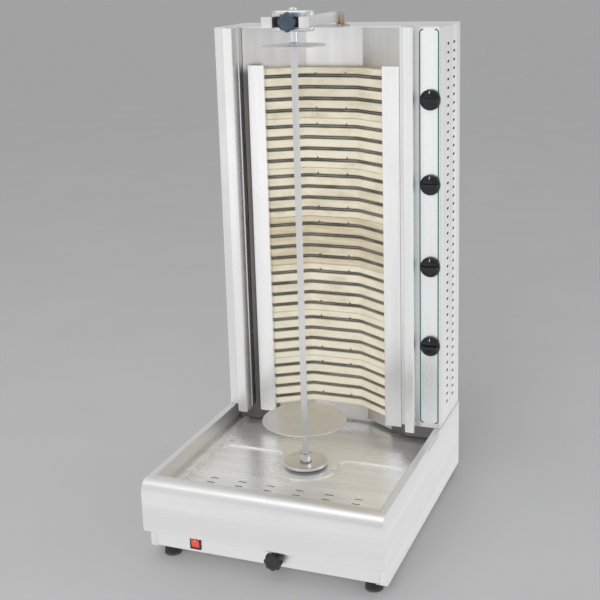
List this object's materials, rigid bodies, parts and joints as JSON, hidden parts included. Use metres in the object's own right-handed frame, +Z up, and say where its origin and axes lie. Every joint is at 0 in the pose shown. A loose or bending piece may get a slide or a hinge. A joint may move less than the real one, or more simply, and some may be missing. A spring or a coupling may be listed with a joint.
{
  "type": "vertical rotisserie broiler",
  "caption": "Free-standing electric vertical broiler: upright motor-driven spit with two meat plates before a tall ceramic-brick heater, over a drip-tray base.",
  "frame": {"origin": "on the floor under the middle of the base, half way between its side panels and half way between its front and rear faces", "axes": "+Z up, +Y from the front towards the heater column and the rear, +X to the right as seen from the front"},
  "size_m": [0.53, 0.66, 1.145],
  "materials": {
    "stainless_brushed": "brushed",
    "stainless_bright": "satin",
    "tray_steel": "satin",
    "inner_steel": "mill finish",
    "plate_steel": "satin",
    "spit_steel": "matt",
    "chrome": "polished",
    "fork_steel": "satin",
    "clamp_cast": "cast",
    "black_plastic": "matt",
    "knob_black": "glossy",
    "star_knob_black": "satin",
    "rocker_red": "glossy",
    "foot_rubber": "matt",
    "brick_ceramic": "unglazed",
    "element_sheath": "oxidised",
    "wool": "fibrous",
    "terminal_ceramic": "glazed",
    "control_face": "satin",
    "brass": "plain",
    "copper": "plain",
    "screw_steel": "plain"
  },
  "bodies": {
    "oven_body": {"apron": "stainless_brushed", "arm_bracket": "inner_steel", "base_bottom": "inner_steel", "base_rear": "inner_steel", "base_side_left": "stainless_brushed", "base_side_right": "stainless_brushed", "bracket_bolts": "brass", "cable_gland": "black_plastic", "carriage_rails": "inner_steel", "column_back": "inner_steel", "column_cap": "stainless_brushed", "column_side_left": "stainless_brushed", "column_side_right": "stainless_brushed", "control_plate": "control_face", "drip_tray": "tray_steel", "feet": "foot_rubber", "fork_bar_left": "fork_steel", "fork_bar_right": "fork_steel", "grease_pan": "tray_steel", "guard_left": "stainless_bright", "guard_right": "stainless_bright", "heater_bricks": "brick_ceramic", "heater_cover_left": "stainless_bright", "heater_cover_right": "stainless_bright", "heating_elements": "element_sheath", "insulation": "wool", "niche_liner": "stainless_bright", "panel_screws": "screw_steel", "plinth": "stainless_brushed", "post_left": "stainless_brushed", "post_right": "stainless_brushed", "regulators": "black_plastic", "rocker_housing": "black_plastic", "terminal_block": "terminal_ceramic", "well_rear": "inner_steel"},
    "rocker": {"rocker_paddle": "rocker_red"},
    "regulator_1": {"regulator_knob_1": "knob_black"},
    "regulator_2": {"regulator_knob_2": "knob_black"},
    "regulator_3": {"regulator_knob_3": "knob_black"},
    "regulator_4": {"regulator_knob_4": "knob_black"},
    "drive_carriage": {"carriage_plate": "inner_steel", "gearbox": "clamp_cast", "drive_motor": "clamp_cast"},
    "spit_drive": {"drive_shaft": "spit_steel", "drive_disc": "plate_steel", "drive_socket": "chrome", "socket_ring": "copper", "spit": "spit_steel", "lower_plate": "plate_steel", "plate_collar": "plate_steel"},
    "upper_meat_plate": {"upper_plate": "plate_steel"},
    "carriage_lock": {"lower_star_knob": "star_knob_black", "lock_rod": "spit_steel"},
    "top_clamp": {"top_carriage": "clamp_cast", "clamp_pad": "black_plastic"},
    "top_lock": {"top_star_knob": "star_knob_black"},
    "top_bearing_pin": {"top_pin": "chrome"}
  },
  "joints": [
    {"name": "rocker_tilt", "type": "hinge", "parent": "oven_body", "child": "rocker", "pos_m": [-0.158, -0.2986, 0.0475], "axis": [1, 0, 0], "range_deg": [-14, 0]},
    {"name": "carriage_slide", "type": "slide", "parent": "oven_body", "child": "drive_carriage", "axis": [0, 1, 0], "range_m": [-0.005, 0.035]},
    {"name": "spit_turn", "type": "hinge", "parent": "drive_carriage", "child": "spit_drive", "pos_m": [0, -0.053, 0.2], "axis": [0, 0, 1], "continuous": true},
    {"name": "upper_plate_slide", "type": "slide", "parent": "spit_drive", "child": "upper_meat_plate", "axis": [0, 0, 1], "range_m": [-0.78, 0]},
    {"name": "carriage_lock_turn", "type": "hinge", "parent": "oven_body", "child": "carriage_lock", "pos_m": [0.026, -0.31, 0.045], "axis": [0, -1, 0], "range_deg": [-180, 0]},
    {"name": "top_clamp_slide", "type": "slide", "parent": "oven_body", "child": "top_clamp", "axis": [0, 1, 0], "range_m": [-0.005, 0.035]},
    {"name": "top_lock_turn", "type": "hinge", "parent": "top_clamp", "child": "top_lock", "pos_m": [0, -0.09, 1.1175], "axis": [0, -1, 0], "range_deg": [-180, 0]},
    {"name": "top_pin_lift", "type": "slide", "parent": "top_clamp", "child": "top_bearing_pin", "axis": [0, 0, 1], "range_m": [0, 0.03]},
    {"name": "regulator_turn_1", "type": "hinge", "parent": "oven_body", "child": "regulator_1", "pos_m": [0.2415, 0.11, 0.3856], "axis": [0, -1, 0], "range_deg": [-270, 0]},
    {"name": "regulator_turn_2", "type": "hinge", "parent": "oven_body", "child": "regulator_2", "pos_m": [0.2415, 0.11, 0.5706], "axis": [0, -1, 0], "range_deg": [-270, 0]},
    {"name": "regulator_turn_3", "type": "hinge", "parent": "oven_body", "child": "regulator_3", "pos_m": [0.2415, 0.11, 0.7556], "axis": [0, -1, 0], "range_deg": [-270, 0]},
    {"name": "regulator_turn_4", "type": "hinge", "parent": "oven_body", "child": "regulator_4", "pos_m": [0.2415, 0.11, 0.9406], "axis": [0, -1, 0], "range_deg": [-270, 0]}
  ],
  "couplings": [
    {"joint": "top_clamp_slide", "follows": "carriage_slide", "ratio": 1}
  ]
}
